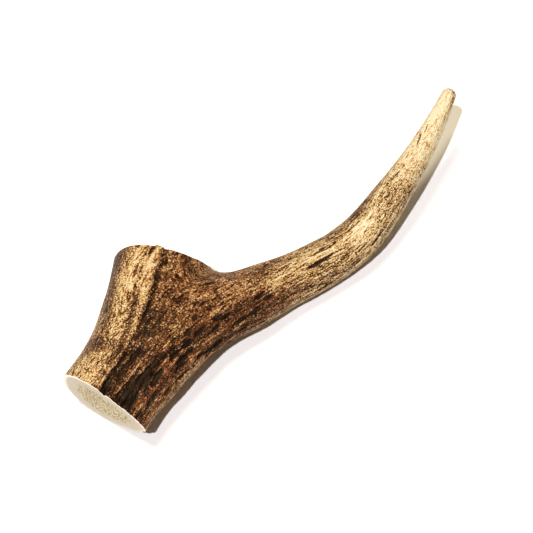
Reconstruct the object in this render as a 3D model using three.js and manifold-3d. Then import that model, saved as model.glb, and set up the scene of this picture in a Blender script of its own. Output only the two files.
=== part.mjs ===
// A sawn piece of deer antler: a short length of the main beam, cut off below and
// above its fork, and the long tine that leaves it and curls up to a point.
//
// Millimetres, +Z up. The piece lies on its side on the plane z = 0, touching it
// under both ends of the beam and under the middle of the tine. The origin is on
// that plane, below the middle of the whole piece. +Y runs up the beam, towards the
// end that was nearer the antler's crown, and +X runs out along the tine.
//
// The antler is one piece of bone. It is built here as two solids, parted at the
// fork: main_beam and tine.

import * as THREE from "three";
import { mergeVertices } from "three/addons/utils/BufferGeometryUtils.js";
import Module from "manifold-3d";

const wasm = await Module();
wasm.setup();

// ---- Driving dimensions -----------------------------------------------------

// Each limb is a bent rod with an oval section. A station gives the middle of the
// section, half its width across and half its height. The beam's first and last
// stations lie past the saw cuts, and the tine's first three lie inside the beam.
const BEAM_STATIONS = [
  { at: [-69.6, -74.5, 15.9], across: 19.6, high: 15.1 },
  { at: [-63.3, -64.1, 15.9], across: 19.4, high: 15.2 },
  { at: [-55.1, -49.4, 16.1], across: 19.2, high: 15.4 },
  { at: [-49.7, -36.6, 16.5], across: 19.0, high: 15.6 },
  { at: [-46.0, -22.9, 16.8], across: 18.8, high: 15.8 },
  { at: [-44.1, -10.5, 16.7], across: 18.7, high: 16.0 },
  { at: [-42.6, 1.4, 16.6], across: 18.7, high: 16.0 },
  { at: [-41.5, 13.4, 16.6], across: 18.7, high: 16.0 },
];
const TINE_STATIONS = [
  { at: [-62.8, -66.7, 16.5], across: 11.0, high: 9.0 },
  { at: [-53.9, -55.3, 16.5], across: 13.2, high: 10.8 },
  { at: [-38.2, -34.8, 16.2], across: 15.6, high: 12.6 },
  { at: [-23.4, -22.9, 14.8], across: 14.4, high: 12.6 },
  { at: [-8.9, -14.9, 12.8], across: 12.7, high: 11.9 },
  { at: [6.0, -6.1, 10.9], across: 10.8, high: 10.5 },
  { at: [20.2, 2.2, 9.9], across: 10.0, high: 9.9 },
  { at: [32.4, 10.4, 10.6], across: 9.6, high: 9.5 },
  { at: [42.1, 18.8, 13.6], across: 8.9, high: 8.8 },
  { at: [53.7, 33.5, 19.6], across: 7.3, high: 7.3 },
  { at: [63.7, 48.0, 24.8], across: 5.7, high: 5.7 },
  { at: [71.3, 61.1, 29.5], across: 4.4, high: 4.4 },
  { at: [76.4, 71.3, 33.0], across: 3.1, high: 3.0 },
];

// The beam's section is an egg, fuller by this share on the side away from the tine.
const BEAM_EGG = 0.3;
const TINE_EGG = 0;

// The width of the fillet between the limbs. It grows from nothing at the tine's
// first station to the full width at this share of the way along the tine.
const FILLET = 10;
const FILLET_FULL = 0.18;

// The saw cuts, each a point on the cut and the direction that the cut faces. The
// lower cut leans a little, so that it faces slightly down.
const LOWER_CUT = { at: [-63.5, -63.9, 15.9], faces: [-0.545, -0.838, -0.085] };
const UPPER_CUT = { at: [-43.4, -0.8, 16.5], faces: [0.06, 0.998, 0] };

// The size of the block of space that each saw cut clears.
const SAW_CLEARS = 60;

// Where the two solids are parted, at the root of the tine, and the gap there.
const FORK_SEAM = { at: [-11.0, -16.5, 13.0], faces: [0.88, 0.48, 0] };
const SEAM_GAP = 0.3;

// How finely the rods are divided, and how closely points are fitted to the fillet.
const BEAM_MESH = { round: 44, along: 34, cap: 5 };
const TINE_MESH = { round: 32, along: 60, cap: 6 };
const SPINE_SAMPLES = 90;
const SETTLING_PASSES = 5;
const PROBE = 0.05;
const LEAST_SLOPE = 0.3;
const WELD = 0.001;
const FAR = 400;

// ---- A limb -----------------------------------------------------------------

const UP = new THREE.Vector3(0, 0, 1);

class Limb {
  constructor(stations, egg) {
    const centres = stations.map(({ at }) => new THREE.Vector3(...at));
    const girths = stations.map(({ across, high }) => new THREE.Vector3(across, high, 0));
    this.spine = new THREE.CatmullRomCurve3(centres, false, "catmullrom");
    this.girth = new THREE.CatmullRomCurve3(girths, false, "catmullrom");
    this.egg = egg;
    this.samples = [];
    for (let i = 0; i <= SPINE_SAMPLES; i++) this.samples.push(this.section(i / SPINE_SAMPLES));
  }

  // The cross-section a share t of the way along the limb.
  section(t) {
    const { x: across, y: high } = this.girth.getPoint(t);
    const along = this.spine.getTangent(t);
    const side = new THREE.Vector3().crossVectors(along, UP).normalize();
    const over = new THREE.Vector3().crossVectors(side, along);
    return { t, centre: this.spine.getPoint(t), along, side, over, across, high };
  }

  // The point of the limb's surface that stands for the point (x, z) of a unit
  // circle in the section at t, pushed past the section by the share beyond.
  surface(t, x, z, beyond) {
    const s = this.section(t);
    const height = z * (1 - this.egg * x);
    return s.centre
      .clone()
      .addScaledVector(s.side, x * s.across)
      .addScaledVector(s.over, height * s.high)
      .addScaledVector(s.along, beyond * s.high);
  }

  // The section nearest to a point, found on the straight stretches between samples.
  nearest(point) {
    let best = { distance: Infinity, t: 0 };
    for (let i = 0; i < SPINE_SAMPLES; i++) {
      const start = this.samples[i].centre;
      const step = new THREE.Vector3().subVectors(this.samples[i + 1].centre, start);
      const share = new THREE.Vector3().subVectors(point, start).dot(step) / step.lengthSq();
      const held = THREE.MathUtils.clamp(share, 0, 1);
      const distance = start.clone().addScaledVector(step, held).distanceTo(point);
      if (distance < best.distance) best = { distance, t: (i + held) / SPINE_SAMPLES };
    }
    return this.section(best.t);
  }

  // About how far a point lies outside the limb; less than 0 inside it.
  outside(point) {
    const s = this.nearest(point);
    const away = new THREE.Vector3().subVectors(point, s.centre);
    const x = away.dot(s.side) / s.across;
    const z = away.dot(s.over) / s.high / (1 - this.egg * THREE.MathUtils.clamp(x, -1, 1));
    const beyond = away.dot(s.along) / s.high;
    const gap = (Math.hypot(x, z, beyond) - 1) * Math.min(s.across, s.high);
    return { gap, t: s.t };
  }

  // The limb as a capsule bent onto its spine.
  rod({ round, along, cap }) {
    const length = 1;
    const capsule = new THREE.CapsuleGeometry(1, length, cap, round, along);
    const position = capsule.getAttribute("position");
    for (let i = 0; i < position.count; i++) {
      const y = position.getY(i);
      const straight = THREE.MathUtils.clamp(y, -length / 2, length / 2);
      const t = (straight + length / 2) / length;
      const point = this.surface(t, position.getX(i), position.getZ(i), y - straight);
      position.setXYZ(i, ...point);
    }
    return capsule;
  }
}

const beam = new Limb(BEAM_STATIONS, BEAM_EGG);
const tine = new Limb(TINE_STATIONS, TINE_EGG);

// ---- The fillet between the limbs ---------------------------------------------

// About how far a point lies outside the two limbs with the fillet between them.
function outsideBoth(point) {
  const a = beam.outside(point).gap;
  const { gap: b, t } = tine.outside(point);
  const width = FILLET * THREE.MathUtils.smoothstep(t, 0, FILLET_FULL);
  if (width === 0) return Math.min(a, b);
  const overlap = Math.max(width - Math.abs(a - b), 0);
  return Math.min(a, b) - (overlap * overlap) / (4 * width);
}

// The way in which that distance grows.
function slope(point) {
  const here = outsideBoth(point);
  const along = (axis) => {
    const moved = point.clone();
    moved[axis] += PROBE;
    return (outsideBoth(moved) - here) / PROBE;
  };
  return new THREE.Vector3(along("x"), along("y"), along("z"));
}

// Moves the points of the joined rods that are near the angle out onto the fillet.
function settle(geometry) {
  const position = geometry.getAttribute("position");
  const point = new THREE.Vector3();
  for (let i = 0; i < position.count; i++) {
    point.fromBufferAttribute(position, i);
    for (let pass = 0; pass < SETTLING_PASSES; pass++) {
      const gap = outsideBoth(point);
      const way = slope(point);
      point.addScaledVector(way, -gap / Math.max(way.lengthSq(), LEAST_SLOPE));
    }
    position.setXYZ(i, point.x, point.y, point.z);
  }
  return geometry;
}

// ---- Cutting ----------------------------------------------------------------

function solid(geometry) {
  const plain = geometry.clone();
  plain.deleteAttribute("normal");
  plain.deleteAttribute("uv");
  const merged = mergeVertices(plain, WELD);
  const mesh = new wasm.Mesh({
    numProp: 3,
    vertProperties: merged.getAttribute("position").array,
    triVerts: new Uint32Array(merged.index.array),
  });
  return new wasm.Manifold(mesh);
}

// A block of space past a cut, on the side that the cut faces.
function past({ at, faces }, size, offset = 0) {
  const way = new THREE.Vector3(...faces).normalize();
  const box = new THREE.BoxGeometry(size, size, size).translate(0, 0, size / 2 + offset);
  box.applyQuaternion(new THREE.Quaternion().setFromUnitVectors(UP, way));
  return solid(box.translate(...at));
}

// The same cut, seen from its other side.
function turned({ at, faces }) {
  return { at, faces: faces.map((part) => -part) };
}

// The surface of a solid, as a three.js geometry.
function skin(made) {
  const { vertProperties, triVerts } = made.getMesh();
  const geometry = new THREE.BufferGeometry();
  geometry.setAttribute("position", new THREE.BufferAttribute(vertProperties, 3));
  geometry.setIndex(new THREE.BufferAttribute(triVerts, 1));
  return geometry;
}

const bothRods = solid(beam.rod(BEAM_MESH)).add(solid(tine.rod(TINE_MESH)));
const whole = solid(settle(skin(bothRods)));
const sawn = whole.subtract(past(LOWER_CUT, SAW_CLEARS)).subtract(past(UPPER_CUT, SAW_CLEARS));
const beamSolid = sawn.subtract(past(FORK_SEAM, FAR, -SEAM_GAP / 2));
const tineSolid = sawn.subtract(past(turned(FORK_SEAM), FAR, -SEAM_GAP / 2));

// ---- The two pieces -----------------------------------------------------------

function piece(name, made, material) {
  const geometry = skin(made);
  geometry.computeVertexNormals();
  const mesh = new THREE.Mesh(geometry, material);
  mesh.name = name;
  return mesh;
}

const darkAntler = new THREE.MeshStandardMaterial({ color: 0x6b4a2c, roughness: 0.5, metalness: 0 });
const paleAntler = new THREE.MeshStandardMaterial({ color: 0xc9a877, roughness: 0.4, metalness: 0 });

const antler = new THREE.Group();
antler.name = "deer_antler";
antler.add(piece("main_beam", beamSolid, darkAntler));
antler.add(piece("tine", tineSolid, paleAntler));

export default antler;
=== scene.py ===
# %% [markdown]
# # A sawn piece of deer antler
#
# An antler is bone that grew under a furry skin. The blood vessels of that skin
# left long furrows in it, and rubbing against trees stained the furrows dark and
# polished the high places. This piece was sawn from the main beam below and above a
# fork, and its one tine is whole.
#
# The lesson builds it the way it grew. A coarse cage of four-sided faces follows
# the two limbs, is rounded by subdivision, gets its furrows and pits pushed in, and
# is sawn last, so that the saw cuts through the furrows and leaves a scalloped rim.

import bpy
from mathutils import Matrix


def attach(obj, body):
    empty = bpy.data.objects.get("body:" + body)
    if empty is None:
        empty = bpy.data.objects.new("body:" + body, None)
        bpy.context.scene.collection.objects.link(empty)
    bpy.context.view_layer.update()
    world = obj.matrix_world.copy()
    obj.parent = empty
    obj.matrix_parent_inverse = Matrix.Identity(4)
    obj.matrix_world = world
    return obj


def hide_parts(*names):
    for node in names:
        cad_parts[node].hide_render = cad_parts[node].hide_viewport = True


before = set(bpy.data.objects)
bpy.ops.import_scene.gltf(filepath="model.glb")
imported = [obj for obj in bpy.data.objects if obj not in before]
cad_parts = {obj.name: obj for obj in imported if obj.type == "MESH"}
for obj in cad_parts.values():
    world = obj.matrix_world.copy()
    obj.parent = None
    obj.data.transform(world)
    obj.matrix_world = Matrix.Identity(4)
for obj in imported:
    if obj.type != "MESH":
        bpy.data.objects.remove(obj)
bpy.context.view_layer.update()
print("nodes:", sorted(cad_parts))

import bmesh
import bpy
import numpy as np
from mathutils import Matrix, Vector, noise

# The antler is shaped in millimetres and brought to metres at the end.
MM = 0.001


def unit(rows):
    return rows / np.linalg.norm(rows, axis=-1, keepdims=True)


def ease(share):
    """A smooth step: 0 up to 0, 1 from 1 on, and soft in between."""
    held = np.clip(share, 0, 1)
    return held * held * (3 - 2 * held)


def between(values, span):
    """A smooth step from 0 at the first end of the span to 1 at its other end."""
    first, last = span
    return ease((values - first) / (last - first))


# %% [markdown]
# ## The two limbs
#
# Each limb is a bent rod with an oval section, known at a few stations: the middle
# of the section, half its width across and half its height. A smooth course through
# the stations gives every place in between. The beam's section is an egg, fuller on
# the side away from the tine.

# %% The stations of the beam and the tine
BEAM_STATIONS = [
    ((-69.6, -74.5, 15.9), 19.6, 15.1),
    ((-63.3, -64.1, 15.9), 19.4, 15.2),
    ((-55.1, -49.4, 16.1), 19.2, 15.4),
    ((-49.7, -36.6, 16.5), 19.0, 15.6),
    ((-46.0, -22.9, 16.8), 18.8, 15.8),
    ((-44.1, -10.5, 16.7), 18.7, 16.0),
    ((-42.6, 1.4, 16.6), 18.7, 16.0),
    ((-41.5, 13.4, 16.6), 18.7, 16.0),
]
TINE_STATIONS = [
    ((-62.8, -66.7, 16.5), 11.0, 9.0),
    ((-53.9, -55.3, 16.5), 13.2, 10.8),
    ((-38.2, -34.8, 16.2), 15.6, 12.6),
    ((-23.4, -22.9, 14.8), 14.4, 12.6),
    ((-8.9, -14.9, 12.8), 12.7, 11.9),
    ((6.0, -6.1, 10.9), 10.8, 10.5),
    ((20.2, 2.2, 9.9), 10.0, 9.9),
    ((32.4, 10.4, 10.6), 9.6, 9.5),
    ((42.1, 18.8, 13.6), 8.9, 8.8),
    ((53.7, 33.5, 19.6), 7.3, 7.3),
    ((63.7, 48.0, 24.8), 5.7, 5.7),
    ((71.3, 61.1, 29.5), 4.4, 4.4),
    ((76.4, 71.3, 33.0), 3.1, 3.0),
]
BEAM_EGG = 0.3
TINE_EGG = 0.0

LOWER_CUT = ((-63.5, -63.9, 15.9), (-0.545, -0.838, -0.085))
UPPER_CUT = ((-43.4, -0.8, 16.5), (0.06, 0.998, 0))
FORK_SEAM = ((-11.0, -16.5, 13.0), (0.88, 0.48, 0))

# %% A course through stations, and a limb along it
SECTIONS = 241
BLOCK = 2000


def smooth_course(stops):
    """A smooth course through the stops: shares from 0 to 1 give places on it."""
    stops = np.array(stops, float)
    knots = np.vstack([2 * stops[0] - stops[1], stops, 2 * stops[-1] - stops[-2]])
    spans = len(stops) - 1

    def place(share):
        reach = np.clip(share, 0, 1) * spans
        span = np.minimum(reach.astype(int), spans - 1)
        t = (reach - span)[..., None]
        a, b, c, d = (knots[span + i] for i in range(4))
        bend = (2 * a - 5 * b + 4 * c - d) * t**2 + (3 * b - a - 3 * c + d) * t**3
        return 0.5 * (2 * b + (c - a) * t + bend)

    return place


class Limb:
    """A bent rod, kept as a close row of sections."""

    def __init__(self, stations, egg):
        shares = np.linspace(0, 1, SECTIONS)
        self.spans = len(stations) - 1
        self.egg = egg
        self.centre = smooth_course([at for at, _, _ in stations])(shares)
        self.girth = smooth_course([size for _, *size in stations])(shares)
        self.along = unit(np.gradient(self.centre, axis=0))
        self.side = unit(np.cross(self.along, (0, 0, 1)))
        self.over = np.cross(self.side, self.along)
        steps = np.linalg.norm(np.diff(self.centre, axis=0), axis=1)
        self.run = np.concatenate([[0], np.cumsum(steps)])[:, None]

    def read(self, rows, where):
        """A row of sections at places given in sections from the start."""
        low = np.clip(where.astype(int), 0, SECTIONS - 2)
        part = (where - low)[:, None]
        return rows[low] * (1 - part) + rows[low + 1] * part

    def nearest(self, points):
        """How many sections from the start the nearest place on the course is."""
        start = self.centre[:-1]
        step = np.diff(self.centre, axis=0)
        found = []
        for block in np.array_split(points, len(points) // BLOCK + 1):
            away = block[:, None] - start
            share = np.clip((away * step).sum(2) / (step * step).sum(1), 0, 1)
            miss = ((away - share[..., None] * step) ** 2).sum(2)
            best = miss.argmin(1)
            found.append(best + share[np.arange(len(block)), best])
        return np.concatenate(found)

    def gap(self, points):
        """About how far each point lies outside the limb, and its share of the way."""
        where = self.nearest(points)
        girth = self.read(self.girth, where)
        away = points - self.read(self.centre, where)
        x = (away * self.read(self.side, where)).sum(1) / girth[:, 0]
        z = (away * self.read(self.over, where)).sum(1) / girth[:, 1]
        z /= 1 - self.egg * np.clip(x, -1, 1)
        beyond = (away * self.read(self.along, where)).sum(1) / girth[:, 1]
        size = np.sqrt(x * x + z * z + beyond * beyond)
        return (size - 1) * girth.min(1), where / (SECTIONS - 1)

    def surface(self, station, turn, beyond=0.0, full=1.0):
        """The place on the skin at a station, turned from the tine's side over the top."""
        where = np.array([station / self.spans * (SECTIONS - 1)])
        across, high = self.read(self.girth, where)[0] * full
        x, z = np.cos(np.radians(turn)), np.sin(np.radians(turn))
        return (
            self.read(self.centre, where)[0]
            + self.read(self.side, where)[0] * x * across
            + self.read(self.over, where)[0] * z * (1 - self.egg * x) * high
            + self.read(self.along, where)[0] * beyond * high
        )

    def way(self, station):
        """How far along the limb a station is."""
        where = np.array([station / self.spans * (SECTIONS - 1)])
        return self.read(self.run, where)[0, 0]


beam = Limb(BEAM_STATIONS, BEAM_EGG)
tine = Limb(TINE_STATIONS, TINE_EGG)
print(f"beam {beam.run[-1, 0]:.0f} mm, tine {tine.run[-1, 0]:.0f} mm along the middle")

# %% [markdown]
# ## The skin round both limbs
#
# Where the tine leaves the beam there is no crease: the two run into each other in a
# soft fillet. A rule that tells how far a place lies outside both limbs, rounded
# where they meet, describes that skin. Points of a rough mesh are then walked
# along the rule's slope until they lie on it.

# %% Walk points onto the blended skin
FILLET = 10.0
FILLET_FULL = 0.18
PROBE = 0.05
LEAST_SLOPE = 0.3
PASSES = 5


def outside(points):
    a, _ = beam.gap(points)
    b, share = tine.gap(points)
    width = np.maximum(FILLET * ease(share / FILLET_FULL), PROBE)
    overlap = np.maximum(width - abs(a - b), 0)
    return np.minimum(a, b) - overlap**2 / (4 * width)


def settle(points):
    for _ in range(PASSES):
        here = outside(points)
        probes = [(outside(points + step) - here) / PROBE for step in PROBE * np.eye(3)]
        slope = np.stack(probes, 1)
        steep = np.maximum((slope**2).sum(1), LEAST_SLOPE)
        points = points - slope * (here / steep)[:, None]
    return points


# %% [markdown]
# ## The cage
#
# A ring of twelve points is extruded up the beam, ring by ring. At the crotch of the
# fork one more point joins the top of the ring to its bottom, which turns the ring
# into two loops of eight, like the waist of a pair of trousers. One loop goes on up
# the beam, and the other out along the tine to its tip.
#
# Every point also remembers its strand: where it started on the round of the lowest
# ring, and how far along it has come. The furrows will follow the strands, so they
# fan out from the lower cut into the tine and the upper beam, as they grew.

# %% Where the rings go
RING = 12
STRAND_RADIUS = 17.5
TOP, BOTTOM = 3, 9

# Stations on the beam and on the tine, and how much of the tine the ring takes in.
STEM_RINGS = [
    (0.2, 0.0, 0.0),
    (1.15, 0.3, 0.0),
    (2.0, 1.2, 0.35),
    (2.9, 1.8, 0.85),
    (3.9, 2.45, 1.0),
    (5.0, 3.1, 1.0),
]
CROTCH = (-19.5, -4.0, 14.0)
CROTCH_WAY = 62.0
UPPER_RINGS = [6.15, 6.9]
TINE_RINGS = [4.0, 5.0, 6.0, 7.0, 8.0, 8.9, 9.8, 10.7, 11.5, 12.0]
# The last ring sits on the round tip: how far past the last station, and how wide.
TIP_BEYOND = 0.62
TIP_FULL = 0.72

# The stations that the lower cut crosses, and the side of a ring that the tine takes.
BEAM_START = beam.way(1.04)
TINE_START = tine.way(0.25)
TINE_SIDE = (-0.5, 0.5)


def stem_spot(ring, k):
    """The place and the strand of point k of a stem ring."""
    on_beam, on_tine, taken = STEM_RINGS[ring]
    turn = 360 / RING * k
    lean = np.cos(np.radians(turn))
    share = taken * between(lean, TINE_SIDE)
    place = (1 - share) * beam.surface(on_beam, turn) + share * tine.surface(on_tine, turn)
    way = (1 - share) * (beam.way(on_beam) - BEAM_START)
    way += share * (tine.way(on_tine) - TINE_START)
    round_place = STRAND_RADIUS * lean, STRAND_RADIUS * np.sin(np.radians(turn))
    return place, (*round_place, way)


# %% Extrude the cage
def grow(bm, loop):
    """Extrudes a closed loop of points and returns the new loop in the same order."""
    edges = [bm.edges.get(pair) for pair in zip(loop, loop[1:] + loop[:1])]
    made = bmesh.ops.extrude_edge_only(bm, edges=edges)["geom"]
    fresh = {part for part in made if isinstance(part, bmesh.types.BMVert)}
    touching = [[edge.other_vert(vert) for edge in vert.link_edges] for vert in loop]
    return [next(vert for vert in others if vert in fresh) for others in touching]


def put(vert, strands, place, strand):
    vert.co = place
    vert[strands] = strand


# The turn of the first point of each loop past the crotch, and from point to point.
UPPER_FROM = 45
TINE_FROM = -135
LOOP_STEP = 45


def build_cage():
    bm = bmesh.new()
    strands = bm.verts.layers.float_vector.new("strand")
    ring = bmesh.ops.create_circle(bm, segments=RING, radius=1)["verts"]
    ring.sort(key=lambda vert: np.arctan2(vert.co.y, vert.co.x) % (2 * np.pi))
    for level in range(len(STEM_RINGS)):
        if level:
            ring = grow(bm, ring)
        for k, vert in enumerate(ring):
            put(vert, strands, *stem_spot(level, k))
    crotch = bm.verts.new()
    put(crotch, strands, CROTCH, (0, 0, CROTCH_WAY))
    bm.edges.new((ring[TOP], crotch))
    bm.edges.new((crotch, ring[BOTTOM]))
    grow_upper(bm, strands, ring[TOP:BOTTOM + 1] + [crotch])
    grow_tine(bm, strands, ring[BOTTOM:] + ring[:TOP + 1] + [crotch])
    bmesh.ops.recalc_face_normals(bm, faces=bm.faces)
    return bm


def grow_upper(bm, strands, loop):
    for station in UPPER_RINGS:
        starts = [vert[strands].copy() for vert in loop]
        loop = grow(bm, loop)
        for k, (vert, start) in enumerate(zip(loop, starts)):
            spot = beam.surface(station, UPPER_FROM + LOOP_STEP * k)
            way = beam.way(station) - BEAM_START
            put(vert, strands, spot, (start.x, start.y, way))


# %% Grow the tine and close its tip
STRAND_MIDDLE = 9.0
STRAND_NARROWING = 0.6


def tine_width(station):
    where = station * (SECTIONS - 1) / tine.spans
    return np.interp(where, np.arange(SECTIONS), tine.girth[:, 0])


def grow_tine(bm, strands, loop):
    starts = [vert[strands].copy() for vert in loop]
    ends = [(station, 0.0, 1.0) for station in TINE_RINGS]
    ends.append((TINE_RINGS[-1], TIP_BEYOND, TIP_FULL))
    root = tine_width(TINE_RINGS[0])
    for station, beyond, full in ends:
        loop = grow(bm, loop)
        width = tine_width(station)
        narrow = (width * full / root) ** STRAND_NARROWING
        way = tine.way(station) - TINE_START + beyond * width
        for k, (vert, start) in enumerate(zip(loop, starts)):
            x = STRAND_MIDDLE + (start.x - STRAND_MIDDLE) * narrow
            spot = tine.surface(station, TINE_FROM + LOOP_STEP * k, beyond, full)
            put(vert, strands, spot, (x, start.y * narrow, way))
    bmesh.ops.contextual_create(bm, geom=loop)


cage = build_cage()
stem_face = min(cage.faces, key=lambda face: face.calc_center_median().y)
facing = stem_face.normal.dot(stem_face.calc_center_median() - Vector(BEAM_STATIONS[0][0]))
if facing < 0:
    bmesh.ops.reverse_faces(cage, faces=cage.faces)
print(f"cage: {len(cage.verts)} points, {len(cage.faces)} faces, facing {facing:+.2f}")

# %% [markdown]
# ## Round the cage
#
# Subdivision rounds the cage. It is done twice: three levels first, then the points
# are walked onto the skin, then two more levels. A twin of the cage, whose points
# sit at their strands instead of at their places, is rounded with it. Point by
# point the twin then tells where on its strand each point of the antler lies.

# %% Subdivide the cage and its twin
FIRST_LEVELS = 3
LAST_LEVELS = 2


def mesh_points(mesh):
    flat = np.empty(len(mesh.vertices) * 3, np.float32)
    mesh.vertices.foreach_get("co", flat)
    return flat.reshape(-1, 3).astype(float)


def move_points(mesh, points):
    mesh.vertices.foreach_set("co", np.ascontiguousarray(points, np.float32).ravel())
    mesh.update()


def rounded(mesh, levels):
    """A copy of the mesh with that many levels of subdivision."""
    holder = bpy.data.objects.new("holder", mesh)
    bpy.context.scene.collection.objects.link(holder)
    rounding = holder.modifiers.new("Rounding", "SUBSURF")
    rounding.levels = rounding.render_levels = levels
    view = bpy.context.evaluated_depsgraph_get()
    result = bpy.data.meshes.new_from_object(holder.evaluated_get(view))
    bpy.data.objects.remove(holder)
    return result


skin = bpy.data.meshes.new("skin")
cage.to_mesh(skin)
twin = skin.copy()
strand_layer = cage.verts.layers.float_vector["strand"]
move_points(twin, [vert[strand_layer] for vert in cage.verts])
cage.free()

skin, twin = rounded(skin, FIRST_LEVELS), rounded(twin, FIRST_LEVELS)
move_points(skin, settle(mesh_points(skin)))
skin, twin = rounded(skin, LAST_LEVELS), rounded(twin, LAST_LEVELS)
strand = mesh_points(twin)
print(f"skin: {len(skin.vertices)} points, {len(skin.polygons)} faces")

# %% [markdown]
# ## Reading the strands
#
# From here on a place on the skin is named by its strand, as on a globe: the turn is
# the angle round the beam, 0 on the tine's side and 90 on top, and the way is how
# many millimetres it lies from the lower cut. Every mark is placed by these two.

# %% Turn and way of every point
# In the web between the limbs the strands run close to the middle of the circle.
WEB_REACHES = (9.0, 14.0)
WEB_ENDS = (100.0, 120.0)
WEB_KEEPS_OFF = 6.0
NOISE_FADES = 1.0
NOISE_FINER = 2.0

POINTS = len(strand)
turn = np.degrees(np.arctan2(strand[:, 1], strand[:, 0]))
reach = np.hypot(strand[:, 0], strand[:, 1])
way = strand[:, 2]
off_web = np.maximum(between(reach, WEB_REACHES), between(way, WEB_ENDS))


def off_line(turns):
    """How many millimetres each point lies past a turn, going from the tine over the top."""
    return np.radians((turn - turns + 180) % 360 - 180) * reach


def spot(at_way, at_turn, long, broad, lean=0.0):
    """How far from a spot each point is, in half sizes of the spot, squared."""
    ahead = way - at_way
    across = off_line(at_turn) - lean * ahead
    return (across / broad) ** 2 + (ahead / long) ** 2 + WEB_KEEPS_OFF * (1 - off_web)


def rough(size, stretch, octaves, shift):
    """Noise along the strands: lumps of that size in mm, stretched along them."""
    spots = strand / (size, size, size * stretch) + shift
    return np.array([
        noise.fractal(row, NOISE_FADES, NOISE_FINER, octaves) for row in spots.tolist()])


print(f"ways {way.min():.0f} to {way.max():.0f} mm")

# %% [markdown]
# ## How rough the skin is, and where
#
# The beam is rough: flutes and channels run along it, with a pearly grain between
# them. The tine was rubbed smooth, and its outer third is polished ivory. So a few
# layers of noise are laid along the strands, each stretched by a different amount,
# and faded from one place to the next. The course of the beam's one sharp furrow is
# written down first, because a smoother strip begins beside it.

# %% Where the skin is rubbed smooth
# The furrow's course: at each of these ways it lies at that turn.
FURROW_WAYS = [-10, 0, 20, 28, 38, 48, 58, 66, 80]
FURROW_TURNS = [91, 91.5, 93.5, 96, 99.5, 103, 106.5, 109.5, 113]
UNDERSIDE = -90

# Where each kind of skin begins or ends: ways in mm, then turns in degrees.
BEAM_ENDS = (72, 78)
TINE_BEGINS = (66, 116)
IVORY_BEGINS = (138, 176)
STRIP_BEGINS = (0.6, 3.6)
STRIP_FADES = (0, 9)
RUGGED_FROM = (-50, -20)
RUGGED_TO = (70, 48)
LEAST_RUGGED = 0.3
SADDLE = (-20.0, -4.0, 15.0)
SADDLE_SIZE = 13.0


def by_way(values):
    """Reads a row of values that stand beside the furrow's ways."""
    return np.interp(way, FURROW_WAYS, values)


on_beam = (1 - between(way, BEAM_ENDS)) * off_web
on_tine = between(way, TINE_BEGINS)
to_ivory = between(way, IVORY_BEGINS)
left_of_furrow = off_line(by_way(FURROW_TURNS))
left_strip = between(left_of_furrow, STRIP_BEGINS) * off_web
left_strip *= between(-off_line(UNDERSIDE), STRIP_FADES)
rugged = np.maximum(between(turn, RUGGED_FROM) * between(turn, RUGGED_TO), LEAST_RUGGED)
saddle = ease(np.linalg.norm(mesh_points(skin) - SADDLE, axis=1) / SADDLE_SIZE)
print(f"{left_strip.mean():.0%} of the points in the strip, {to_ivory.mean():.0%} ivory")

# %% The layers of roughness
SWELL_HEIGHT = 0.26
FLUTE_HEIGHT = 0.55
CHANNEL_DEPTH = 0.60
CHANNEL_WALL = (0.12, 0.62)
PEARL_HEIGHT = 0.15
WEB_HEIGHT = 1.1


def from_to(first, last, share):
    """From the first value to the last as the share goes from 0 to 1."""
    return first + (last - first) * share


swell = rough(7.0, 3.0, 2, 3.1)
clouds = rough(4.5, 2.0, 2, 29.3)
flutes = rough(2.6, 8.0, 3, 17.4)
channels = rough(1.25, 6.0, 3, 41.7)
pearls = rough(0.60, 1.6, 2, 63.2)
streaks = rough(0.45, 7.0, 2, 85.9)

roughness = rugged * from_to(1, 0.4, left_strip)
roughness *= from_to(1, 0.5, on_tine) * from_to(1, 0.2, to_ivory)
relief = SWELL_HEIGHT * swell * from_to(1, 0.5, to_ivory)
relief += FLUTE_HEIGHT * flutes * roughness
relief -= CHANNEL_DEPTH * between(channels, CHANNEL_WALL) * roughness
relief += PEARL_HEIGHT * pearls * from_to(0.35, 1, roughness) * from_to(1, 0.4, to_ivory)
relief *= from_to(0.15, 1, saddle)
relief += WEB_HEIGHT * (1 - saddle) ** 2
print(f"layers: {relief.min():.2f} to {relief.max():.2f} mm")

# %% [markdown]
# ## The ridge and its furrow
#
# The sharp furrow runs up the whole beam with a rounded ridge beside it, where an
# artery lay. Left of the ridge is a shallow valley, and right of the furrow the skin
# drops to a shelf. Each is a curve of the distance past the furrow's course.

# %% The ridge, its furrow and the valley beside it
RIDGE_WIDTHS = [1.0, 1.0, 1.1, 1.4, 1.8, 2.1, 2.1, 2.1, 2.1]
FLUTES_BEND = 0.10
SWELL_BENDS = 0.25

# Distances past the furrow and half breadths, in mm, and the ways where things start.
FURROW_HALF = 0.6
RIDGE_PAST = 0.55
RIDGE_FLANK = (0.6, 0.35)
RIDGE_STARTS = (14, 28)
VALLEY_PAST = 1.7
VALLEY_HALF = 1.0
VALLEY_STARTS = (8, 16)
VALLEY_FADES = (30, 52)
SHELF_EDGE = (0, -0.8)
SHELF_BREADTH = (-7, 0)

past_furrow = left_of_furrow + FLUTES_BEND * flutes + SWELL_BENDS * swell
ridge_width = by_way(RIDGE_WIDTHS)
ridge_starts = between(way, RIDGE_STARTS)

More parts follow.
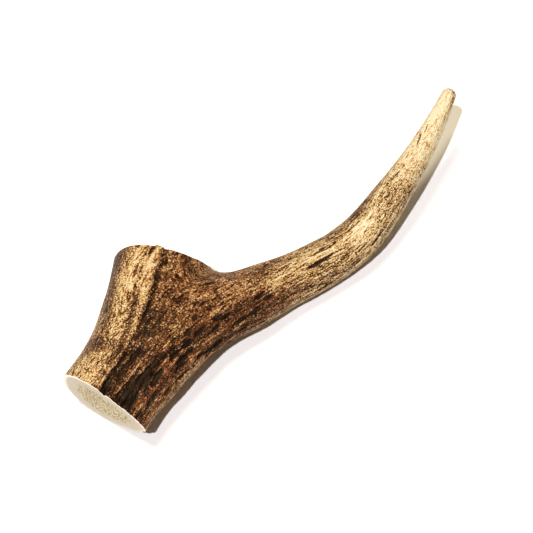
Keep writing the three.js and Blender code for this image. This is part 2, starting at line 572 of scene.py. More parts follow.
furrow = np.exp(-(past_furrow / FURROW_HALF) ** 2) * on_beam
from_crest = (past_furrow - RIDGE_PAST - ridge_width / 2) / ridge_width
ridge = between(abs(from_crest), RIDGE_FLANK) * on_beam
from_valley = (past_furrow - ridge_width - VALLEY_PAST) / VALLEY_HALF
valley = np.exp(-from_valley**2) * on_beam
valley *= between(way, VALLEY_STARTS) * from_to(1, 0.55, between(way, VALLEY_FADES))
shelf = between(past_furrow, SHELF_EDGE) * between(past_furrow, SHELF_BREADTH) * on_beam

# %% Press and raise them
FURROW_DEPTHS = (0.35, 0.90)
RIDGE_HEIGHTS = (0.10, 0.65)
VALLEY_DEPTH = 0.50
SHELF_DEPTH = 0.40

relief -= furrow * from_to(*FURROW_DEPTHS, ridge_starts)
relief += ridge * from_to(*RIDGE_HEIGHTS, ridge_starts)
relief -= VALLEY_DEPTH * valley + SHELF_DEPTH * shelf
print(f"furrow and ridge: {relief.min():.2f} to {relief.max():.2f} mm")

# %% [markdown]
# ## Pits and slits
#
# Between the ridges of the rough side lie long dark pits, and on the tine a few
# slits. Each is a spot with a ragged edge: way, turn, half length, half breadth,
# depth, and how much it leans across the strands.

# %% Press in the pits
PITS = [
    (29.0, 49, 3.2, 1.5, 0.70, 0.10),
    (36.5, 50, 2.9, 1.5, 0.65, 0.00),
    (40.5, 59, 2.0, 0.9, 0.40, 0.10),
    (45.0, 51, 3.4, 1.4, 0.60, -0.05),
    (57.0, 50, 3.8, 1.3, 0.60, -0.20),
    (52.5, 43, 2.4, 1.1, 0.50, -0.10),
    (29.5, 34, 4.2, 2.0, 0.75, 0.10),
    (35.5, 37, 2.6, 1.4, 0.55, -0.10),
    (39.5, 19, 3.4, 1.3, 0.70, -0.25),
    (48.0, 12, 6.0, 1.6, 0.60, 0.10),
    (60.0, 10, 5.0, 1.6, 0.55, 0.00),
    (64.0, 27, 3.0, 1.2, 0.50, 0.00),
    (71.0, 26, 4.0, 1.3, 0.55, 0.05),
    (75.5, 41, 2.8, 1.3, 0.50, 0.10),
    (79.0, 34, 2.4, 0.9, 0.40, -0.15),
    (1.0, 35, 2.4, 1.0, 0.50, 0.10),
    (9.0, 30, 4.0, 1.2, 0.45, 0.00),
    (17.0, 46, 3.6, 1.6, 0.50, 0.10),
    (6.0, 63, 8.0, 2.6, 0.55, 0.00),
    (3.0, 54, 4.0, 1.8, 0.45, 0.10),
    (14.0, 57, 6.0, 2.0, 0.45, 0.00),
    (22.0, 58, 5.0, 1.4, 0.45, 0.10),
    (-1.0, 87, 5.0, 1.5, 0.90, 0.00),
    (-1.0, 69, 5.0, 1.6, 0.80, 0.00),
    (-1.0, 59, 4.0, 0.9, 0.60, 0.00),
    (10.0, 83, 14.0, 1.0, 0.80, 0.00),
    (13.0, 91, 13.0, 0.6, 0.45, 0.00),
    (5.0, 88, 6.0, 0.8, 0.30, 0.00),
    (30.0, 92, 7.0, 0.5, 0.30, 0.05),
    (28.0, 16, 6.0, 0.7, 0.40, 0.00),
    (14.0, 17, 5.0, 0.8, 0.35, 0.00),
    (132.0, 15, 2.5, 0.7, 0.25, 0.10),
    (149.0, 45, 2.0, 0.8, 0.30, -0.10),
]
PIT_EDGE = dict(size=1.5, fray=2.0, soft=1.2)
PIT_DARKNESS = (0.55, 1.15)
CHANNELS_FRAY = 0.55
PEARLS_FRAY = 0.25

ragged = CHANNELS_FRAY * channels + PEARLS_FRAY * pearls


def inside(from_spot, size, fray, soft):
    """1 inside a spot with a frayed edge, and 0 outside it."""
    return ease((size - from_spot + fray * ragged) / soft)


pitted = np.zeros(POINTS)
for at_way, at_turn, long, broad, depth, lean in PITS:
    in_pit = inside(spot(at_way, at_turn, long, broad, lean), **PIT_EDGE)
    pitted = np.maximum(pitted, in_pit * from_to(*PIT_DARKNESS, depth))
    relief -= depth * in_pit
print(f"{len(PITS)} pits, relief {relief.min():.2f} to {relief.max():.2f} mm")

# %% Cut the long thin cracks
# Way, turn, half length, half breadth, lean and how dark.
CRACKS = [
    (108.5, 43.5, 7.5, 0.80, 0.03, 0.85),
    (111.0, 59.8, 6.5, 0.42, 0.05, 0.70),
    (114.5, 57.0, 4.5, 0.38, 0.00, 0.60),
    (98.0, 50.0, 4.0, 0.35, 0.05, 0.40),
    (122.0, 64.0, 5.0, 0.35, 0.00, 0.40),
    (90.0, 60.0, 4.0, 0.35, 0.10, 0.35),
    (128.0, 60.0, 4.0, 0.35, -0.05, 0.40),
    (126.0, 24.0, 4.0, 0.35, 0.10, 0.30),
    (134.0, 16.0, 3.0, 0.45, 0.10, 0.45),
    (104.0, 1.0, 12.0, 0.45, 0.04, 0.50),
    (118.0, 7.0, 12.0, 0.40, 0.05, 0.40),
    (96.0, -5.0, 14.0, 0.45, 0.00, 0.45),
    (126.0, -2.0, 10.0, 0.40, 0.05, 0.45),
    (80.0, 3.0, 10.0, 0.45, 0.05, 0.45),
    (158.3, 56.5, 3.4, 0.35, -0.15, 0.55),
    (163.0, 60.0, 2.4, 0.30, -0.10, 0.40),
    (177.5, 54.0, 3.6, 0.50, 0.20, 0.55),
    (183.0, 51.0, 2.4, 0.35, 0.10, 0.40),
    (64.5, 118.5, 2.6, 0.50, 0.10, 0.45),
    (55.0, 121.0, 4.0, 0.35, 0.05, 0.30),
    (42.0, 112.0, 5.0, 0.35, 0.00, 0.30),
    (24.0, 132.0, 4.0, 0.35, 0.00, 0.35),
]
CRACK_EDGE = dict(size=1.35, fray=0.8, soft=1.1)
CRACK_DEPTH = 0.45

cracked = np.zeros(POINTS)
for at_way, at_turn, long, broad, lean, dark in CRACKS:
    in_crack = inside(spot(at_way, at_turn, long, broad, lean), **CRACK_EDGE)
    cracked = np.maximum(cracked, dark * in_crack)
relief -= CRACK_DEPTH * cracked
print(f"{len(CRACKS)} cracks")

# %% Raise the thin crests between them
# Way, turn, half length, half breadth, height and lean.
CRESTS = [
    (11.0, 73.5, 13.0, 0.55, 0.30, 0.00),
    (29.0, 64.0, 7.0, 0.55, 0.25, 0.14),
    (21.0, 51.5, 8.0, 0.60, 0.30, 0.12),
    (3.0, 38.5, 4.0, 0.90, 0.25, -0.25),
    (40.0, 38.0, 6.0, 0.90, 0.25, -0.05),
    (34.0, 27.0, 7.0, 0.70, 0.25, 0.00),
    (46.0, 32.0, 6.0, 0.80, 0.25, 0.05),
    (24.0, 42.0, 6.0, 0.70, 0.25, 0.05),
    (13.0, 38.0, 5.0, 0.60, 0.25, 0.00),
    (63.0, 21.0, 4.0, 1.00, 0.25, 0.10),
    (54.0, 32.0, 5.0, 0.80, 0.20, 0.00),
    (10.0, 23.0, 9.0, 0.60, 0.25, 0.00),
    (42.0, 64.0, 8.0, 0.60, 0.15, 0.00),
    (58.0, 57.0, 9.0, 0.90, 0.15, -0.05),
    (46.0, 26.0, 5.0, 0.60, 0.20, 0.10),
    (30.0, 9.0, 16.0, 0.80, 0.20, 0.00),
    # The next four run along the top of the tine. Their paler stain is partly wear and
    # partly a painted highlight, the glints along its crest.
    (104.0, 54.5, 11.0, 0.55, 0.16, 0.02),
    (122.0, 54.0, 11.0, 0.60, 0.16, 0.03),
    (90.0, 50.0, 9.0, 0.50, 0.16, 0.04),
    (136.0, 52.0, 9.0, 0.50, 0.12, 0.03),
    (100.0, 5.0, 16.0, 0.50, 0.14, 0.04),
    (118.0, 2.0, 14.0, 0.50, 0.14, 0.05),
]
CREST_EDGE = dict(size=1.4, fray=1.0, soft=1.3)

worn_and_glinting_crests = np.zeros(POINTS)
for at_way, at_turn, long, broad, height, lean in CRESTS:
    on_crest = inside(spot(at_way, at_turn, long, broad, lean), **CREST_EDGE)
    worn_and_glinting_crests = np.maximum(worn_and_glinting_crests, on_crest)
    relief += height * on_crest
print(f"{len(CRESTS)} crests")

# %% Swell or sink a few broad places
# Way, turn, half length, half breadth and height.
SWELLINGS = [
    (42, 165, 20, 9, 0.8),
    (0, 150, 10, 9, 0.5),
    (105, 80, 26, 5, -0.5),
]
for at_way, at_turn, long, broad, height in SWELLINGS:
    relief += height * np.exp(-spot(at_way, at_turn, long, broad))
print(f"{len(SWELLINGS)} swellings, relief {relief.min():.2f} to {relief.max():.2f} mm")

# %% [markdown]
# ## The stain
#
# Bark juice and dried blood went into the low places and were rubbed off the high
# ones. Each point gets one number for it, from 0 for bare ivory to 1 for black. It
# starts from broad patches, which are spots like the pits but soft, and the relief
# and the noises then break them up. A few patches and crests also paint light and
# shade into it: a highlight along the tine's crest, a reflection of the floor on its
# lower edge and shade along the right edge of its tip.

# %% Broad patches of stain, a few of them painted light and shade
# Way, turn, half length, half breadth, and how much darker (or lighter) it makes.
PATCHES = [
    (0, 62, 22, 12, 0.16),
    (26, 84, 26, 6, 0.10),
    (30, 45, 26, 10, 0.06),
    (62, 25, 22, 9, 0.10),
    (72, 80, 12, 8, -0.04),
    (70, 42, 10, 7, 0.16),
    (84, 66, 10, 4, 0.06),
    (61, 99, 3, 2, -0.12),
    (57, 82, 5, 3, -0.14),
    (45, 80, 4, 2, -0.10),
    (38, 70, 9, 3, -0.12),
    (16, 140, 5, 4, 0.12),
    (35, 140, 6, 3.5, 0.20),
    (18, 115, 12, 7, -0.12),
    (2, 118, 8, 12, -0.05),
    (62, 158, 11, 6, 0.34),
    (38, 166, 30, 5, 0.16),
    (58, 147, 12, 4, 0.30),
    (40, 145, 10, 4, 0.24),
    (26, 136, 8, 4, 0.20),
    (8, 136, 10, 6, 0.16),
    (19, 126, 3, 8, 0.26),
    (66, 92, 5, 3, 0.18),
    (61, 95, 4, 3, 0.05),
    (20, 112, 5, 5, 0.24),
    (9, 122, 7, 9, 0.13),
    (23, 65, 6, 8, -0.13),
    (9, 68, 9, 6, -0.11),
    (62, 88, 8, 9, -0.03),
    (58, 76, 6, 5, 0.14),
    (80, 40, 6, 4, -0.09),
    (68, 36, 6, 4, -0.06),
    (112, 61, 10, 4, -0.08),
    (50, 86, 8, 6, -0.05),
    (43, 68, 5, 5, 0.14),
    (115, 79, 30, 1.5, 0.12),
    (150, 73, 14, 1.2, 0.10),
    (74, 52, 10, 7, -0.06),
    (66, 82, 9, 6, -0.07),
    (106, 66, 12, 4, -0.06),
    (30, 174, 45, 4, 0.14),
    (90, 42, 14, 9, -0.09),
    (10, 162, 14, 4, 0.14),
    (46, 146, 4, 3, 0.18),
    (15, 124, 2.5, 6, 0.16),
    (21, 120, 1.5, 6, -0.12),
    (50, 123, 11, 6, -0.09),
    (34, 124, 9, 8, 0.09),
    (5, 108, 9, 9, 0.02),
    (22, 5, 22, 4, -0.16),
    (63, 22, 4, 2, -0.18),
    (3, 39, 4, 1.2, -0.20),
    (66, 56, 10, 2.0, -0.16),
    # These three lighten the top of the tine, partly wear and partly a painted highlight
    # along its crest.
    (92, 52, 16, 2, -0.05),
    (122, 51, 22, 3.5, -0.17),
    (137, 50, 12, 4, -0.10),
    (130, 24, 8, 4, -0.14),
    (137, 71, 6, 3, 0.18),
    (100, 24, 24, 5, 0.10),
    (148, 36, 9, 4, 0.13),
    # This lightens the tine's lower edge: a painted reflection of the light bouncing up from
    # the floor.
    (108, -8, 32, 3, -0.14),
    (146, 24, 14, 6, -0.08),
    (156, 18, 16, 4, 0.12),
    (108, 72, 24, 4, 0.06),
    (40, -140, 24, 12, 0.14),
    (8, -70, 12, 8, 0.14),
    (110, -30, 18, 6, 0.10),
    # This darkens the right edge of the tip: painted shade along that edge.
    (199, 12, 4, 1.4, 0.45),
    (190, 16, 6, 1.2, 0.16),
    (162, 12, 12, 3, 0.10),
    (176, 70, 3, 0.8, 0.30),
    (138, 8, 4, 1.2, 0.14),
]
BASE_STAIN = 0.53
STRIP_PALER = 0.28
TINE_PALER = 0.12
IVORY_PALER = 0.30
TIP_PALER = 0.06
TIP_BEGINS = (170, 195)

stain = np.full(POINTS, BASE_STAIN)
stain -= STRIP_PALER * left_strip * on_beam
stain -= TINE_PALER * on_tine + IVORY_PALER * to_ivory
stain -= TIP_PALER * between(way, TIP_BEGINS)
for at_way, at_turn, long, broad, more in PATCHES:
    stain += more * np.exp(-spot(at_way, at_turn, long, broad))
print(f"{len(PATCHES)} patches, stain {stain.min():.2f} to {stain.max():.2f}")

# %% Stain the low places and bare the high ones
FURROW_DARKER = [0.1, 0.1, 0.2, 0.3, 0.46, 0.46, 0.40, 0.3, 0.2]
VALLEY_DARKER = [0, 0, 0.35, 0.45, 0.44, 0.38, 0.28, 0.22, 0.18]
RIDGE_PALER = [0.1, 0.1, 0.18, 0.15, 0.13, 0.13, 0.19, 0.19, 0.1]
SHELF_DARKER = 0.04
PIT_DARKER = 0.52
CREST_WEAR_AND_GLINT = 0.20

stain += by_way(FURROW_DARKER) * furrow + by_way(VALLEY_DARKER) * valley
stain += SHELF_DARKER * shelf - by_way(RIDGE_PALER) * ridge
# Crests are paler: worn on the beam, and on the tine partly worn and partly a painted
# highlight.
stain += PIT_DARKER * pitted - CREST_WEAR_AND_GLINT * worn_and_glinting_crests + cracked

# %% Redden a few places
# Way, turn, half length and half breadth.
REDDISH = [(16, 45, 26, 11), (50, 36, 24, 11), (76, 28, 14, 7), (5, 75, 18, 2)]
RUST_DARKER = 0.14

rust = np.zeros(POINTS)
for at_way, at_turn, long, broad in REDDISH:
    rust = np.maximum(rust, np.exp(-spot(at_way, at_turn, long, broad)))
print(f"{len(REDDISH)} reddish places")

# %% Break the stain up with the noises
DARK_BEGINS = (0.45, 0.55)
DARK_DARKER = 0.06
CLOUDS_DARKER = 0.14
PEARLS_DARKER = 0.12
CHANNELS_DARKER = 0.14
STREAKS_DARKER = 0.16
FLUTES_PALER = 0.12

lively = from_to(1, 0.25, to_ivory) * from_to(1, 0.8, left_strip) * from_to(1, 0.65, rust)
stain += RUST_DARKER * rust + DARK_DARKER * between(stain, DARK_BEGINS)
stain += lively * (PEARLS_DARKER * pearls + CHANNELS_DARKER * channels)
stain += lively * (STREAKS_DARKER * streaks - FLUTES_PALER * flutes)
stain += lively * CLOUDS_DARKER * from_to(1, 0.5, left_strip) * clouds
print(f"stain {stain.min():.2f} to {stain.max():.2f}, mean {stain.mean():.2f}")

# %% Fray the reddish places, and redden the top of the root and the web
ROOT_TOP = (62, 80, 22, 11)
ROOT_RUST = 0.50
WEB_RUST = 0.60
WEB_RUST_ENDS = (100, 80)

# How much rust a level place keeps, and how much more the flutes and swells hold.
RUST_KEPT = 0.75
RUST_ON_FLUTES = 1.2
RUST_ON_SWELLS = 0.8

rust *= ease(RUST_KEPT + RUST_ON_FLUTES * flutes + RUST_ON_SWELLS * swell)
rust = np.maximum(rust, ROOT_RUST * np.exp(-spot(*ROOT_TOP)))
rust = np.maximum(rust, WEB_RUST * (1 - off_web) * between(way, WEB_RUST_ENDS))
print(f"rust up to {rust.max():.2f}, mean {rust.mean():.2f}")

# %% [markdown]
# ## Push the relief out
#
# The relief is a height for each point, so each point moves that far along its
# normal. The strand, the stain and the rust are written on the mesh, for the
# materials to read. The tip is drawn out a little past the end of the rod.

# %% Push the skin out and in, and write the marks on it
TIP_LONGER = 1.0
TIP_EASES_OVER = 14.0


def normals_of(mesh):
    flat = np.empty(len(mesh.vertices) * 3, np.float32)
    mesh.vertex_normals.foreach_get("vector", flat)
    return flat.reshape(-1, 3)


def write(mesh, name, values):
    kind = "FLOAT_VECTOR" if values.ndim == 2 else "FLOAT"
    slot = "vector" if values.ndim == 2 else "value"
    layer = mesh.attributes.new(name, kind, "POINT")
    layer.data.foreach_set(slot, np.ascontiguousarray(values, np.float32).ravel())


tip_from, tip_to = (np.array(at, float) for at, *_ in TINE_STATIONS[-2:])
tip_way = (tip_to - tip_from) / np.linalg.norm(tip_to - tip_from)
longer = TIP_LONGER * ease((way - way.max() + TIP_EASES_OVER) / TIP_EASES_OVER)
pushed = mesh_points(skin) + normals_of(skin) * relief[:, None]
pushed += tip_way * longer[:, None]
pushed[:, 2] = np.maximum(pushed[:, 2], 0)
move_points(skin, pushed)
write(skin, "strand", strand)
write(skin, "stain", stain)
write(skin, "rust", rust)
print(f"skin pushed by {relief.min():.2f} to {relief.max():.2f} mm")

# %% [markdown]
# ## Saw it
#
# The saw comes last, so its cut shows every groove as a nick in the rim. The same
# skin is then parted at the root of the tine into the two pieces. A sawn end is
# closed by extruding its rim inwards, ring by ring, to one point in the middle,
# which gives the face enough points to be pitted like the spongy bone it shows.

# %% Saw and close
CAP_RINGS = 34
SEAM_RINGS = 2
RINGS_CROWD = 0.9
SAWN_MATERIAL = 1
CROWN_SIDE = -14.0


def saw(bm, cut, keeps=None):
    """Clears what lies past a cut and returns the rim that it leaves."""
    at, faces = Vector(cut[0]), Vector(cut[1]).normalized()
    near = [face for face in bm.faces if keeps is None or keeps(face)]
    parts = set(near)
    for face in near:
        parts.update(face.verts)
        parts.update(face.edges)
    done = bmesh.ops.bisect_plane(
        bm, geom=list(parts), plane_co=at, plane_no=faces, clear_outer=True)
    return [part for part in done["geom_cut"] if isinstance(part, bmesh.types.BMEdge)]


def in_order(rim):
    """The points of a closed rim, in order."""
    left = set(rim)
    edge = rim[0]
    loop = [edge.verts[0], edge.verts[1]]
    left.discard(edge)
    while left:
        edge = next((e for e in loop[-1].link_edges if e in left), None)
        if edge is None:
            break
        left.discard(edge)
        loop.append(edge.other_vert(loop[-1]))
    return loop[:-1]


def close(bm, rim, rings):
    """Closes a rim with rings of faces that shrink to its middle."""
    loop = in_order(rim)
    middle = sum((vert.co for vert in loop), Vector()) / len(loop)
    spokes = [vert.co - middle for vert in loop]
    depth = bm.verts.layers.float["core"]
    start = set(bm.faces)
    for ring in range(1, rings):
        left = 1 - (ring / rings) ** RINGS_CROWD
        loop = grow(bm, loop)
        for vert, spoke in zip(loop, spokes):
            vert.co = middle + spoke * left
            vert[depth] = 1 - left
    bmesh.ops.contextual_create(bm, geom=loop)
    sawn = [face for face in bm.faces if face not in start]
    for face in sawn:
        face.material_index = SAWN_MATERIAL
    print(f"closed a rim of {len(rim)} edges with {len(sawn)} faces")


# %% Part the skin into the two pieces
def near_upper_beam(face):
    return face.calc_center_median().x < CROWN_SIDE


def cut_piece(seam, name, has_ends):
    """The part of the sawn skin that the seam's cut leaves, closed and in metres."""
    bm = bmesh.new()
    bm.from_mesh(skin)
    bm.verts.layers.float.new("core")
    ends = [saw(bm, LOWER_CUT), saw(bm, UPPER_CUT, near_upper_beam)]
    parting = saw(bm, seam)
    if has_ends:
        for rim in ends:
            close(bm, rim, CAP_RINGS)
    close(bm, parting, SEAM_RINGS)
    bmesh.ops.recalc_face_normals(bm, faces=bm.faces)
    mesh = bpy.data.meshes.new(name)
    bm.to_mesh(mesh)
    bm.free()
    mesh.transform(Matrix.Scale(MM, 4))
    piece = bpy.data.objects.new(name, mesh)
    bpy.context.scene.collection.objects.link(piece)
    print(name, len(mesh.vertices), "points,", len(mesh.polygons), "faces")
    return piece


seam_at, seam_faces = FORK_SEAM
back_to_beam = (seam_at, tuple(-part for part in seam_faces))
beam_piece = cut_piece(FORK_SEAM, "antler_beam", has_ends=True)
tine_piece = cut_piece(back_to_beam, "antler_tine", has_ends=False)

# %% [markdown]
# ## The finish of the skin
#
# The stain number runs through a row of colours, from ivory over honey and brown to
# black. Fine grain is added to it first: specks, a little longer than they are broad,
# and thin lines, both lying along the strands, and round dots and soft blots. Dark
# skin is duller and rougher than the polished ivory, and the specks and lines also
# give the finest relief.

# %% Helpers for node materials
def start_material(name):
    material = bpy.data.materials.new(name)
    material.use_nodes = True
    material.node_tree.nodes.clear()
    return material, material.node_tree


def add(tree, kind, inputs=(), **settings):
    """Adds a node, sets it up, and fills or links its sockets."""
    node = tree.nodes.new(kind)
    for key, value in settings.items():
        setattr(node, key, value)
    for socket, value in dict(inputs).items():
        if isinstance(value, bpy.types.NodeSocket):
            tree.links.new(value, node.inputs[socket])
        else:
            node.inputs[socket].default_value = value
    return node


def attribute(tree, name, output="Fac"):
    return add(tree, "ShaderNodeAttribute", attribute_name=name).outputs[output]


def math_node(tree, operation, a, b=0.0, c=0.0, clamp=False):
    node = add(tree, "ShaderNodeMath", {0: a, 1: b, 2: c}, operation=operation)
    node.use_clamp = clamp
    return node.outputs[0]


def mapped(tree, value, span, result=(0, 1), smooth=False):
    """Moves a value from a span to the result's span, and holds it at their ends."""
    node = add(tree, "ShaderNodeMapRange", {
        "Value": value, "From Min": span[0], "From Max": span[1],
        "To Min": result[0], "To Max": result[1]})
    node.interpolation_type = "SMOOTHSTEP" if smooth else "LINEAR"
    return node.outputs[0]


def squeezed(tree, place, share):
    """A place with its third number squeezed, which stretches a pattern that way."""
    return add(tree, "ShaderNodeMapping", {
        "Vector": place, "Scale": (1, 1, share)}).outputs[0]


def grain(tree, place, size, detail, harsh):
    """Fine noise with lumps of about that size, from 0 to 1."""
    node = add(tree, "ShaderNodeTexNoise", {
        "Vector": place, "Scale": 1 / size, "Detail": detail, "Roughness": harsh})
    return node.outputs["Fac"]


def ramp(tree, share, stops):
    node = add(tree, "ShaderNodeValToRGB", {"Fac": share})
    points = node.color_ramp.elements
    while len(points) < len(stops):
        points.new(0.5)
    for point, (at, colour) in zip(points, stops):
        point.position = at
        point.color = (*colour, 1)
    return node.outputs["Color"]


def mix(tree, share, a, b, blend="MIX"):
    node = add(tree, "ShaderNodeMix", {0: share, 6: a, 7: b},
               data_type="RGBA", blend_type=blend)
    return node.outputs[2]


# %% The grain of the skin
# Each grain's size, detail and harshness. Specks and lines are measured along the
# strands in millimetres, and dots and blots in space in metres.
SPECKS = (0.45, 1.0, 0.75)
LINES = (0.60, 3.0, 0.65)
DOTS = (0.00070, 1.5, 0.6)
BLOTS = (0.0016, 3.0, 0.6)
SPECK_SQUEEZE = 0.65
LINE_SQUEEZE = 0.17
SPECK_WEIGHT = 2.4
LINE_WEIGHT = 1.0
BLOT_WEIGHT = 0.15

# Sharp marks: the grain's values where they start and are full, and how strong.
DARK_DOTS = (0.55, 0.61, 0.55)
DARK_LINES = (0.56, 0.61, 0.45)
PALE_SPECKS = (0.56, 0.62, 0.35)
GRAIN_STRENGTH = 1.12
GRAIN_SHIFT = -0.73


def marks(tree, noise_value, low, high, strength):
    """Sharp marks where the noise passes from low to high, worth that much stain."""
    return mapped(tree, noise_value, (low, high), (0, strength), smooth=True)


def skin_grain(tree, strands):
    """How much the grain darkens each place, and the specks and lines by themselves."""
    place = add(tree, "ShaderNodeTexCoord").outputs["Object"]
    specks = grain(tree, squeezed(tree, strands, SPECK_SQUEEZE), *SPECKS)
    lines = grain(tree, squeezed(tree, strands, LINE_SQUEEZE), *LINES)
    dots = grain(tree, place, *DOTS)
    blots = grain(tree, place, *BLOTS)
    darker = math_node(tree, "MULTIPLY_ADD", specks, SPECK_WEIGHT, -SPECK_WEIGHT / 2)
    darker = math_node(tree, "MULTIPLY_ADD", lines, LINE_WEIGHT, darker)
    darker = math_node(tree, "MULTIPLY_ADD", blots, BLOT_WEIGHT, darker)
    darker = math_node(tree, "ADD", darker, marks(tree, dots, *DARK_DOTS))
    darker = math_node(tree, "ADD", darker, marks(tree, lines, *DARK_LINES))
    darker = math_node(tree, "SUBTRACT", darker, marks(tree, specks, *PALE_SPECKS))
    darker = math_node(tree, "MULTIPLY_ADD", darker, GRAIN_STRENGTH, GRAIN_SHIFT)
    return darker, specks, lines


# %% The colours of the skin, from bare ivory to black
PALE_TO_BLACK = [
    (0.00, (0.66, 0.58, 0.385)),
    (0.14, (0.58, 0.435, 0.205)),
    (0.28, (0.42, 0.235, 0.064)),
    (0.42, (0.245, 0.099, 0.014)),
    (0.56, (0.125, 0.038, 0.005)),
    (0.72, (0.056, 0.018, 0.004)),
    (0.88, (0.020, 0.007, 0.002)),
    (1.00, (0.007, 0.003, 0.001)),
]
DARK_TO_BLACK = [
    (0.00, (0.62, 0.50, 0.32)),
    (0.14, (0.54, 0.39, 0.20)),
    (0.28, (0.41, 0.240, 0.095)),
    (0.42, (0.255, 0.122, 0.044)),
    (0.56, (0.130, 0.055, 0.020)),
    (0.72, (0.056, 0.023, 0.009)),
    (0.88, (0.020, 0.007, 0.002)),
    (1.00, (0.007, 0.003, 0.001)),
]
RUST_TO_BLACK = [
    (0.00, (0.58, 0.38, 0.23)),
    (0.30, (0.40, 0.180, 0.072)),
    (0.50, (0.20, 0.060, 0.016)),
    (0.68, (0.075, 0.021, 0.006)),
    (0.86, (0.022, 0.007, 0.002)),
    (1.00, (0.007, 0.003, 0.001)),
]

# The stain where dark skin's colours take over, and the ways where ivory's tint does.
DARK_TAKES_OVER = (0.38, 0.58)
IVORY_TAKES_OVER = (85, 150)
IVORY_TINT = (1.0, 1.07, 1.20, 1)


def skin_colour(tree, strands, stain_here, rust_here, level):
    """The colour of each place, by its level of darkness and by where it is."""
    dark_place = mapped(tree, stain_here, DARK_TAKES_OVER)
    colour = mix(tree, dark_place, ramp(tree, level, PALE_TO_BLACK),
                 ramp(tree, level, DARK_TO_BLACK))
    colour = mix(tree, rust_here, colour, ramp(tree, level, RUST_TO_BLACK))
    way_here = add(tree, "ShaderNodeSeparateXYZ", {"Vector": strands}).outputs["Z"]
    bareness = math_node(tree, "SUBTRACT", 1.0, level, clamp=True)
    ivory = math_node(tree, "MULTIPLY", mapped(tree, way_here, IVORY_TAKES_OVER), bareness)
    tinted = mix(tree, 1.0, colour, IVORY_TINT, "MULTIPLY")
    return mix(tree, ivory, colour, tinted)


# %% The material of the skin
# Bare skin shows only a share of the grain, growing to all of it at this stain.
GRAIN_FULL = 0.42
GRAIN_ON_BARE = 0.15
RUST_CALMS = 0.3
DULLNESS = (0.36, 0.55)
SKIN_BUMP = 0.8
BUMP_HEIGHT = 0.0003
SPECKS_IN_BUMP = 0.6
SKIN_SHINE = 0.18
SHINE_TINT = (1.0, 0.80, 0.60, 1)


def antler_material(name):
    material, tree = start_material(name)
    strands = attribute(tree, "strand", "Vector")
    stain_here = attribute(tree, "stain")
    rust_here = attribute(tree, "rust")
    darker, specks, lines = skin_grain(tree, strands)
    calm = math_node(tree, "MULTIPLY_ADD", rust_here, -RUST_CALMS, 1.0)
    darker = math_node(tree, "MULTIPLY", darker, calm)
    share = mapped(tree, stain_here, (0, GRAIN_FULL), (GRAIN_ON_BARE, 1))
    level = math_node(tree, "MULTIPLY_ADD", darker, share, stain_here, clamp=True)
    fine = math_node(tree, "MULTIPLY_ADD", specks, SPECKS_IN_BUMP, lines)
    bump = add(tree, "ShaderNodeBump", {
        "Strength": SKIN_BUMP, "Distance": BUMP_HEIGHT, "Height": fine})
    shader = add(tree, "ShaderNodeBsdfPrincipled", {
        "Base Color": skin_colour(tree, strands, stain_here, rust_here, level),
        "Roughness": mapped(tree, level, (0, 1), DULLNESS),
        "Normal": bump.outputs[0],
        "Specular IOR Level": SKIN_SHINE, "Specular Tint": SHINE_TINT})
    add(tree, "ShaderNodeOutputMaterial", {"Surface": shader.outputs[0]})
    return material


# %% [markdown]
# ## The finish of the sawn ends
#
# A sawn end shows a dense pale rim of bone and, inside it, spongy bone full of small
# holes with a little grey-green dust in them. The saw left faint scratches. A painted
# highlight lies along the rim, brightest on its upper edge.

# %% The holes of the spongy bone
HOLES_TALL = 0.55
HOLES_IN_A_METRE = 1350.0
HOLE_WIDTHS = (0.75, 1.45)
HOLE_WALL = (0.22, 0.55)
SHAKE_FINENESS = 1600.0
SHAKE = (0.0008, 0.0008, 0.0008)


def spongy_holes(tree, place):
    """1 in the middle of each hole and 0 outside them, in shaken rows of cells."""
    noise_here = add(tree, "ShaderNodeTexNoise", {
        "Vector": place, "Scale": SHAKE_FINENESS, "Detail": 2.0}).outputs["Color"]
    shaken = add(tree, "ShaderNodeVectorMath", {
        0: noise_here, 1: SHAKE, 2: squeezed(tree, place, HOLES_TALL)},
        operation="MULTIPLY_ADD").outputs[0]
    cells = add(tree, "ShaderNodeTexVoronoi", {"Vector": shaken, "Scale": HOLES_IN_A_METRE})
    chance = add(tree, "ShaderNodeSeparateColor", {0: cells.outputs["Color"]}).outputs[0]
    least, most = HOLE_WIDTHS
    widths = math_node(tree, "MULTIPLY_ADD", chance, most - least, least)
    from_hole = math_node(tree, "DIVIDE", cells.outputs["Distance"], widths)
    return mapped(tree, from_hole, HOLE_WALL, (1, 0))


# %% The material of the sawn bone
WANDER = (0.004, 3.0, 0.6)
WANDERS_BY = 0.35
SPONGE_STARTS = (0.42, 0.60)
BONE_GRAIN = (0.0005, 4.0, 0.7)
SCRATCHES = (0.0006, 3.0, 0.6)
SCRATCHES_LONG = 0.12
GRAIN_SHARE = 0.5
# A painted highlight: a thin pale line along the rim, full on its upper edge and faint low
# down.
HIGHLIGHT_RING = (0.03, 0.10)
HIGHLIGHT_HEIGHTS = (0.008, 0.022)
HIGHLIGHT_BELOW = 0.3

RIM_COLOURS = (0.36, 0.315, 0.25, 1), (0.72, 0.66, 0.56, 1)
SPONGE_COLOURS = (0.38, 0.32, 0.185, 1), (0.80, 0.72, 0.52, 1)
RIM_HIGHLIGHT_COLOUR = (0.96, 0.92, 0.82, 1)
HOLE_COLOUR = (0.20, 0.145, 0.055, 1)
HOLE_DEPTH = 0.8
BONE_BUMP = 0.5
BONE_DULLNESS = 0.7
BONE_SHINE = 0.3


